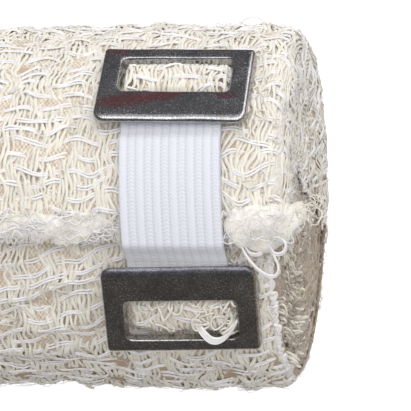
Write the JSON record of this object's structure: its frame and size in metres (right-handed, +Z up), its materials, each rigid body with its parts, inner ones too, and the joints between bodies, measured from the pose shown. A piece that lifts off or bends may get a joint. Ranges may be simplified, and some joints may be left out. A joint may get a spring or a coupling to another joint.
{
  "type": "crepe bandage roll with its elastic clip",
  "caption": "Rolled cream crepe bandage, its loose end held by an elastic clip with stamped metal plates.",
  "frame": {"origin": "middle of the flat spot that the roll rests on", "axes": "+X along the roll towards the end that the clip is near, +Z up, -Y towards the side where the loose end stops"},
  "size_m": [0.0623, 0.0495, 0.048],
  "materials": {
    "crepe": "cream crinkled cotton crepe with white weft",
    "crepe_outer": "cream crinkled cotton crepe with white weft",
    "elastic": "ribbed white woven elastic",
    "plate_metal": "bright stamped sheet with fine scratches"
  },
  "bodies": {
    "root": {"bandage_roll": "crepe", "loose_end": "crepe_outer", "clip_band": "elastic", "clip_plate_upper": "plate_metal", "clip_plate_lower": "plate_metal"}
  },
  "joints": []
}
